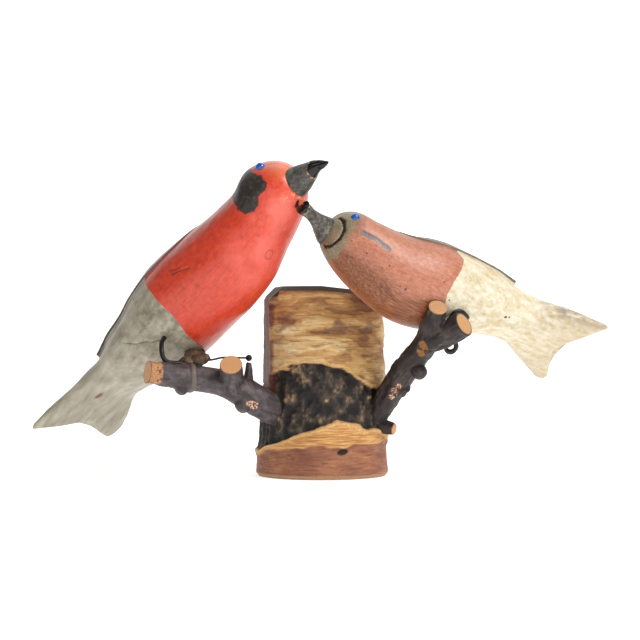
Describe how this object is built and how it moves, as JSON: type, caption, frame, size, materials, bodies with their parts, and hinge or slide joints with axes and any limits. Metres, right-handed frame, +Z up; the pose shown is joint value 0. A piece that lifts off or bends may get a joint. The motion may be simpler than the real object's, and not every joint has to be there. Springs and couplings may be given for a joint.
{
  "type": "carved wooden bird pair",
  "caption": "Carved and painted wooden songbirds with forked tails, beak to throat, perched on cut branches let into an upright birch log.",
  "frame": {"origin": "middle of the log's flat underside", "axes": "+Z up, +X towards the tail of the smaller brown bird, the front of the group looks along -Y"},
  "size_m": [0.3019, 0.106, 0.1632],
  "materials": {
    "birch_bark": "matt",
    "twig_bark": "matt",
    "red_paint": "satin",
    "brown_paint": "satin",
    "dark_beak": "satin",
    "blue_bead": "gloss",
    "black_iron": "satin"
  },
  "bodies": {
    "root": {"birch_log": "birch_bark", "left_branch": "twig_bark", "right_branch": "twig_bark", "red_bird": "red_paint", "red_bird_beak": "dark_beak", "red_bird_eye_near": "blue_bead", "red_bird_eye_far": "blue_bead", "red_bird_leg": "black_iron", "brown_bird": "brown_paint", "brown_bird_beak": "dark_beak", "brown_bird_eye_near": "blue_bead", "brown_bird_eye_far": "blue_bead", "brown_bird_leg": "black_iron", "tie_wire": "black_iron"}
  },
  "joints": []
}
